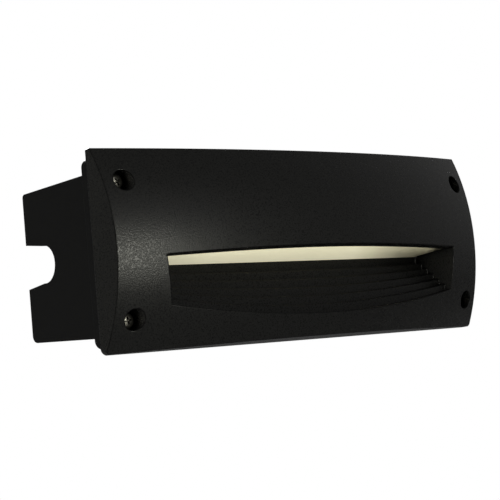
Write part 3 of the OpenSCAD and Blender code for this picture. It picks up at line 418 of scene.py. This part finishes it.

# Bezel: a pressure die casting in aluminium, coated with fine textured black
# powder, with a slot whose ceiling arches up to its front lip. The real grains
# are a few tenths of a millimetre apart, drawn coarser here so that they show.
# Its colour has painted shade: black towards closed-in places within 12 mm, and a dark line along its
# sharp edges.
powder_coat = finish("textured_black_powder_coat", "#141413", "#1b1b19", roughness=0.34,
                     spacing_mm=0.66, height_mm=0.07, specular=0.13, edge_mm=1.0, mottle=0.25,
                     domed=True, painted_nook_shade=(12, 0.15, 0.5), painted_edge_shade=(0.9, 0.995))
deck_lean = math.radians(5.5)
deck_foot = Vector((0, 0.0022, -0.0065))
lip_reach, lip_half_width, lip_rise = 0.042, 0.103, 0.0011
on_deck, past_foot = 0.00005, 0.001


def arch_lip(form):
    """Arches the underside of the slot's ceiling upwards to its front lip, most at mid-width."""
    backward = Vector((0, math.cos(deck_lean), -math.sin(deck_lean)))
    upward = Vector((0, math.sin(deck_lean), math.cos(deck_lean)))
    for vert in form.verts:
        place = vert.co - deck_foot
        forward = -place.dot(backward)
        arch = 1 - (vert.co.x / lip_half_width) ** 2
        if abs(place.dot(upward)) < on_deck and forward > past_foot and arch > 0:
            vert.co.z += lip_rise * arch * forward / lip_reach


skin("bezel_casting", "bezel", "light_unit", powder_coat, reshape=arch_lip)

# Lens: a frosted cream polycarbonate strip in the slot's ceiling, held in its
# window by a flange, and its silicone gasket seals the flange to the deck. It
# would scatter the LED row's light, but the row is off: its emission is painted
# light for the studio light that it catches, less towards its front right
# corner, where painted shade also darkens the last few millimetres of its cream.
frosted_lens = finish("frosted_cream_polycarbonate", "#d3cba6", "#d8d1ac", roughness=0.45,
                      spacing_mm=0.4, height_mm=0.004, edge_mm=0.2)
forward_share, painted_light_from, painted_light_to = -0.84, -0.105, 0.121
left_painted_light, corner_painted_light = 0.45, 0.0
painted_shade_from, painted_shade_to, painted_shade_tone = 0.109, 0.116, 0.12
tree = frosted_lens.node_tree
shader = tree.nodes["Principled BSDF"]
# Painted light: an emission, strong along the left and middle and none at the front right corner, stands
# in for studio light.
shader.inputs["Emission Color"].default_value = linear("#e8e3c4")
place = add_node(tree, "ShaderNodeTexCoord")
along = add_node(tree, "ShaderNodeSeparateXYZ", links=[("Vector", place.outputs["Object"])])
front_right = add_node(tree, "ShaderNodeMath", operation="MULTIPLY_ADD",
                       links=[(0, along.outputs["Y"]), (2, along.outputs["X"])])
front_right.inputs[1].default_value = forward_share
spread = add_node(tree, "ShaderNodeMapRange", links=[("Value", front_right.outputs[0])],
                  From_Min=painted_light_from, From_Max=painted_light_to)
painted_light_ramp = add_node(tree, "ShaderNodeValToRGB", links=[("Fac", spread.outputs[0])])
painted_light_ramp.color_ramp.elements[0].color = (left_painted_light, left_painted_light, left_painted_light, 1)
painted_light_ramp.color_ramp.elements[1].color = (corner_painted_light, corner_painted_light, corner_painted_light, 1)
for share_along, strength in ((0.22, 0.64), (0.68, 0.6), (0.85, 0.1), (0.93, 0.0)):
    painted_light_ramp.color_ramp.elements.new(share_along).color = (strength, strength, strength, 1)
tree.links.new(painted_light_ramp.outputs["Color"], shader.inputs["Emission Strength"])
# Painted shade: the cream turns dark over the last few millimetres at the front right corner, where the
# end wall shades it.
painted_corner_shade = add_node(tree, "ShaderNodeMapRange", links=[("Value", front_right.outputs[0])],
                  From_Min=painted_shade_from, From_Max=painted_shade_to, To_Min=1.0, To_Max=painted_shade_tone)
cream = shader.inputs["Base Color"].links[0].from_socket
shaded = add_node(tree, "ShaderNodeMix", data_type="RGBA", links=[(0, painted_corner_shade.outputs[0]), (7, cream)])
shaded.inputs[6].default_value = (0, 0, 0, 1)
tree.links.new(shaded.outputs[2], shader.inputs["Base Color"])
skin("frosted_lens", "lens", "light_unit", frosted_lens, reshape=arch_lip)
silicone = finish("translucent_white_silicone", "#d6d6d0", "#dededa", roughness=0.5, spacing_mm=0.6,
                  height_mm=0.01)
skin("lens_seal", "lens_gasket", "light_unit", silicone)

# Reflector: a gloss white polycarbonate trough that stands on the lens and
# throws the light of the LED row down through it.
gloss_white = finish("gloss_white_polycarbonate", "#eeeeea", "#f4f4f1", roughness=0.18, spacing_mm=2.0,
                     height_mm=0.01)
skin("reflector_trough", "reflector", "light_unit", gloss_white)

# LED board: aluminium-core board in white solder mask, with a row of eighteen
# surface-mounted packages, each a white case round a square of yellow phosphor,
# and a moulded connector for the two leads from the driver.
solder_mask = finish("white_solder_mask", "#e6e6e3", "#efefec", roughness=0.35, spacing_mm=1.2,
                     height_mm=0.006)
skin("metal_core_board", "led_board", "light_unit", solder_mask)
to_lens = (0, -math.sin(deck_lean), -math.cos(deck_lean))


def block(width, depth, top, bottom, bevel=0.0, inset=0.0):
    """A box in mm on X and Y between two heights, drawn in at its lower end, with its edges bevelled."""
    form = bmesh.new()
    corners = []
    for height, draw in ((top, 0.0), (bottom, inset)):
        for sx, sy in ((-1, -1), (1, -1), (1, 1), (-1, 1)):
            spot = (sx * (width / 2 - draw) / 1000, sy * (depth / 2 - draw) / 1000, height / 1000)
            corners.append(form.verts.new(spot))
    for face in ((0, 1, 2, 3), (7, 6, 5, 4), (0, 4, 5, 1), (1, 5, 6, 2), (2, 6, 7, 3), (3, 7, 4, 0)):
        form.faces.new([corners[i] for i in face])
    bmesh.ops.recalc_face_normals(form, faces=form.faces)
    if bevel:
        bmesh.ops.bevel(form, geom=form.edges[:], offset=bevel / 1000, segments=2, profile=0.5,
                        affect="EDGES")
    return form


def joined(*forms):
    """One form made of several."""
    whole = bmesh.new()
    for form in forms:
        mesh = bpy.data.meshes.new("joined")
        form.to_mesh(mesh)
        form.free()
        whole.from_mesh(mesh)
        bpy.data.meshes.remove(mesh)
    return whole


def cut(form, tool):
    """One form with another taken out of it."""
    pair = []
    for shape in (form, tool):
        mesh = bpy.data.meshes.new("cut")
        shape.to_mesh(mesh)
        shape.free()
        pair.append(bpy.data.objects.new("cut", mesh))
        scene.collection.objects.link(pair[-1])
    taken = pair[0].modifiers.new("taken_out", "BOOLEAN")
    taken.operation, taken.solver = "DIFFERENCE", "EXACT"
    taken.use_self, taken.object = True, pair[1]
    left = bmesh.new()
    left.from_object(pair[0], bpy.context.evaluated_depsgraph_get())
    for used in pair:
        data = used.data
        bpy.data.objects.remove(used)
        bpy.data.meshes.remove(data)
    return left


case_white = finish("white_led_case_moulding", "#e9e9e4", "#f1f1ec", roughness=0.4, spacing_mm=0.5,
                    height_mm=0.003, edge_mm=0.1)
phosphor = finish("yellow_phosphor_in_silicone", "#dcc24e", "#ecd878", roughness=0.25, spacing_mm=0.25,
                  height_mm=0.01, edge_mm=0.05)
_, package_height, _ = seats("leds", to_lens)[0]
package_width, package_depth, package_t, well, well_t = 2.8, 3.5, package_height * 1000, 0.4, 0.25
case_bevel, past_case, gel_sunk, gel_draft = 0.08, 0.1, 0.03, 0.12
well_width, well_depth = package_width - 2 * well, package_depth - 2 * well
well_floor = -package_t + well_t
case = cut(block(package_width, package_depth, 0, -package_t, bevel=case_bevel),
           block(well_width, well_depth, well_floor, -package_t - past_case))
repeat("led_cases", "leds", to_lens, case, "light_unit", case_white, turn_step=0.0)
gel = block(well_width, well_depth, well_floor, -package_t + gel_sunk, inset=gel_draft)
repeat("led_phosphor_squares", "leds", to_lens, gel, "light_unit", phosphor, turn_step=0.0)
pale_nylon = finish("pale_nylon_moulding", "#e0dfd6", "#e8e7df", roughness=0.4, spacing_mm=0.8,
                    height_mm=0.01)
skin("board_connector", "led_connector", "light_unit", pale_nylon)

# Board, tray, driver and block screws: zinc plated steel, cold headed with a
# domed pan head and a cross recess, their threads rolled.
thread_depth, rows_a_turn = 0.54, 8


def thread(radius, pitch, top, tip, segments=24):
    """A rod in mm with a helical thread whose crests reach the radius and fade at the tip."""
    form = bmesh.new()
    depth = thread_depth * pitch
    rows = max(4, round((top - tip) / pitch * rows_a_turn))
    rings = []
    for i in range(rows + 1):
        height = top + (tip - top) * i / rows
        fade = min(1, (height - tip) / pitch)
        ring = []
        for k in range(segments):
            crest = 1 - abs(2 * ((height / pitch + k / segments) % 1) - 1)
            reach = (radius - depth * (1 - crest * fade)) / 1000
            turn = 2 * math.pi * k / segments
            ring.append(form.verts.new((reach * math.cos(turn), reach * math.sin(turn), height / 1000)))
        rings.append(ring)
    for upper, lower in zip(rings, rings[1:]):
        for k in range(segments):
            n = (k + 1) % segments
            form.faces.new((upper[k], lower[k], lower[n], upper[n]))
    form.faces.new(rings[0])
    form.faces.new(rings[-1][::-1])
    bmesh.ops.recalc_face_normals(form, faces=form.faces)
    return form


crown_share, rim_share, foot_share, dome_steps = 0.45, 0.85, 0.97, 8
arm_share, web_share, recess_share, web_draft = 1.06, 0.3, 0.62, 0.28
above_head, in_head = 0.1, 0.8


def pan_head(radius, height, segments=48):
    """A domed pan head in mm with its top at 0, cross recessed."""
    crown = crown_share * height
    rim = height - crown
    slopes = [math.pi / 2 * i / dome_steps for i in range(dome_steps + 1)]
    dome = [(radius * math.sin(t), -crown + crown * math.cos(t)) for t in slopes]
    skirt = [(radius, -crown - rim * rim_share), (radius * foot_share, -height), (0, -height)]
    head = lathe([(0, dome[0][1])] + dome[1:] + skirt, segments)
    arm, web, deep = arm_share * radius, web_share * radius, recess_share * height
    blades = []
    for turn in (0, math.pi / 2):
        blade = block(arm, web, height * above_head, -deep, inset=web * web_draft)
        blade.transform(Matrix.Rotation(turn, 4, "Z"))
        blades.append(blade)
    return cut(head, joined(*blades))


def screw(node, direction, head_height, shank_radius, pitch):
    """A cross-recess pan-head screw as long and as wide as a CAD node's solids."""
    _, reach, radius = seats(node, direction)[0]
    return joined(pan_head(radius * 1000, head_height),
                  thread(shank_radius, pitch, -head_height * in_head, -reach * 1000))


zinc_plate = finish("bright_zinc_plate", "#b9bab8", "#cdcecb", roughness=0.25, spacing_mm=0.6,
                    height_mm=0.003, metallic=1.0, edge_mm=0.05)
for name, node, direction, head_height, shank_radius, pitch in (
    ("board_fixing_screws", "board_screws", to_lens, 1.8, 1.25, 0.45),
    ("tray_fixing_screws", "tray_screws", to_lens, 2.0, 1.5, 0.5),
    ("driver_fixing_screws", "driver_screws", into_wall, 1.8, 1.5, 0.5),
    ("block_fixing_screws", "block_screws", into_wall, 1.8, 1.5, 0.5),
):
    form = screw(node, direction, head_height, shank_radius, pitch)
    repeat(name, node, direction, form, "light_unit", zinc_plate)

# LED tray: mill finish aluminium sheet, bent in two steps, that clamps board
# and reflector on the lens and leads their heat into the casting.
rolling_draw = 0.06
mill_aluminium = finish("mill_finish_aluminium_sheet", "#a3a5a5", "#b9bbbb", roughness=0.35,
                        spacing_mm=0.7, height_mm=0.006, metallic=1.0, edge_mm=0.2,
                        stretch=(rolling_draw, 1, 1))
skin("bent_led_tray", "led_tray", "light_unit", mill_aluminium)

# Driver and terminal block: a potted driver in a pale moulded case with two
# ears, and a pale nylon block whose brass barrels clamp the supply's wires.
driver_case = finish("pale_grey_abs_case", "#d9d9d4", "#e2e2dd", roughness=0.45, spacing_mm=0.9,
                     height_mm=0.02)
skin("potted_driver", "driver", "light_unit", driver_case)
skin("terminal_block_moulding", "terminal_block", "light_unit", pale_nylon)
skin("terminal_barrels_turned", "terminal_barrels", "light_unit", turned_brass)
_, grub_reach, grub_radius = seats("clamp_screws", into_wall)[0]
radius, length, grub_pitch = grub_radius * 1000, grub_reach * 1000, 0.5
face, collar, collar_slope, collar_height, thread_top = radius * 0.85, radius * foot_share, 0.2, 0.8, 0.7
slot_width, slot_depth, past_grub = 0.5, 0.5, 0.1
grub = joined(lathe([(0, 0), (face, 0), (collar, -collar_slope), (collar, -collar_height),
                     (0, -collar_height)], 32),
              thread(radius, grub_pitch, -thread_top, -length))
blade_slot = block(radius * 2.4, slot_width, past_grub, -slot_depth)
grub = cut(grub, blade_slot)
repeat("slotted_clamp_screws", "clamp_screws", into_wall, grub, "light_unit", zinc_plate)

# Leads: tinned copper strands in PVC insulation, 1.8 mm over all, red and black
# to the LED board, brown and blue to the driver, green and yellow to earth.


def lead(name, node, low, high):
    """A round lead along its CAD route, its facets subdivided away."""
    vinyl = finish(f"{name}_pvc", low, high, roughness=0.4, spacing_mm=1.5, height_mm=0.01)
    piece = skin(name, node, "light_unit", vinyl, angle_deg=60)
    rounder = piece.modifiers.new("rounder", "SUBSURF")
    rounder.levels = rounder.render_levels = 1
    return piece


lead("red_led_lead", "led_lead_red", "#8a1612", "#9b211b")
lead("black_led_lead", "led_lead_black", "#161616", "#1e1e1e")
lead("brown_input_lead", "input_lead_brown", "#522c18", "#61371f")
lead("blue_input_lead", "input_lead_blue", "#21477c", "#2c558e")
stripe_scale, green_share = 120.0, 0.6
striped = lead("striped_earth_lead", "earth_lead", "#3f7a2a", "#4a8831").data.materials[0]
tree = striped.node_tree
place = add_node(tree, "ShaderNodeTexCoord")
bands = add_node(tree, "ShaderNodeTexWave", links=[("Vector", place.outputs["Object"])],
                 Scale=stripe_scale, Distortion=1.0)
stripes = add_node(tree, "ShaderNodeValToRGB", links=[("Fac", bands.outputs["Fac"])])
stripes.color_ramp.interpolation = "CONSTANT"
stripes.color_ramp.elements[0].color = linear("#3f7a2a")
stripes.color_ramp.elements[1].color = linear("#d8c62c")
stripes.color_ramp.elements[1].position = green_share
tree.links.new(stripes.outputs["Color"], tree.nodes["Principled BSDF"].inputs["Base Color"])

# Earth point: a tinned copper ring tag, crimped to the lead and held on the
# tray by a green passivated steel screw.
tinned = finish("tinned_copper_strip", "#b9b6a8", "#cbc8ba", roughness=0.3, spacing_mm=0.5,
                height_mm=0.004, metallic=1.0, edge_mm=0.1)
skin("crimped_ring_tag", "earth_tag", "light_unit", tinned)
green_zinc = finish("green_passivated_zinc", "#4f7a32", "#5f8f3f", roughness=0.3, spacing_mm=0.6,
                    height_mm=0.003, metallic=0.8, edge_mm=0.05)
earth_screw = screw("earth_screw", to_lens, head_height=1.8, shank_radius=1.5, pitch=0.5)
repeat("green_earth_screw", "earth_screw", to_lens, earth_screw, "light_unit", green_zinc)

# Lamp housing: the sealed rear shell, moulded in black glass-filled nylon. Its
# rim is drawn onto an EPDM cord gasket by eight stainless screws.
skin("housing_shell", "lamp_housing", "light_unit", moulded_nylon)
epdm = finish("black_epdm_rubber", "#1b1b1b", "#242424", roughness=0.65, spacing_mm=0.5,
              height_mm=0.015, specular=0.3)
skin("housing_seal", "housing_gasket", "light_unit", epdm)
stainless = finish("cold_headed_stainless_steel", "#5e5c57", "#74726c", roughness=0.32, spacing_mm=0.4,
                   height_mm=0.006, metallic=1.0, edge_mm=0.08)
to_face = (0, -1, 0)
rim_screw = screw("housing_screws", to_face, head_height=2.2, shank_radius=1.5, pitch=0.5)
repeat("housing_rim_screws", "housing_screws", to_face, rim_screw, "light_unit", stainless)

# Cable gland: M16, moulded in black polyamide, with an EPDM washer under its
# flange, a locknut inside, and a bush that the outer nut squeezes on the cable.
satin_nylon = finish("satin_black_polyamide", "#1a1a1a", "#222222", roughness=0.38, spacing_mm=0.8,
                     height_mm=0.008, specular=0.3)
skin("gland_body_moulding", "gland_body", "light_unit", satin_nylon)
skin("gland_flange_washer", "gland_washer", "light_unit", epdm)
skin("gland_locknut_moulding", "gland_locknut", "light_unit", satin_nylon)
skin("gland_bush", "gland_seal", "light_unit", epdm)
skin("gland_clamping_nut", "gland_nut", "gland_nut", satin_nylon)

# Bezel seals: a black EPDM frame between the casting's rib and the wall box's
# flange, and a washer under the head of each bezel screw.
skin("bezel_frame_seal", "bezel_gasket", "light_unit", epdm)
skin("screw_head_seals", "screw_seals", "light_unit", epdm)

# Bezel screws: four stainless M4 pan heads, deep in the casting's counterbores.
# They turn in the wall box's brass inserts.
head_height, shank_radius, pitch = 3.1, 2.0, 0.7
corner_turns = {"top_left": 0.5, "top_right": 1.0, "bottom_left": 0.2, "bottom_right": 0.75}
for corner, turn in corner_turns.items():
    node = f"bezel_screw_{corner}"
    form = screw(node, into_wall, head_height, shank_radius, pitch)
    form.transform(Matrix.Rotation(turn, 4, "Z"))
    repeat(f"{node}_m4", node, into_wall, form, node, stainless)
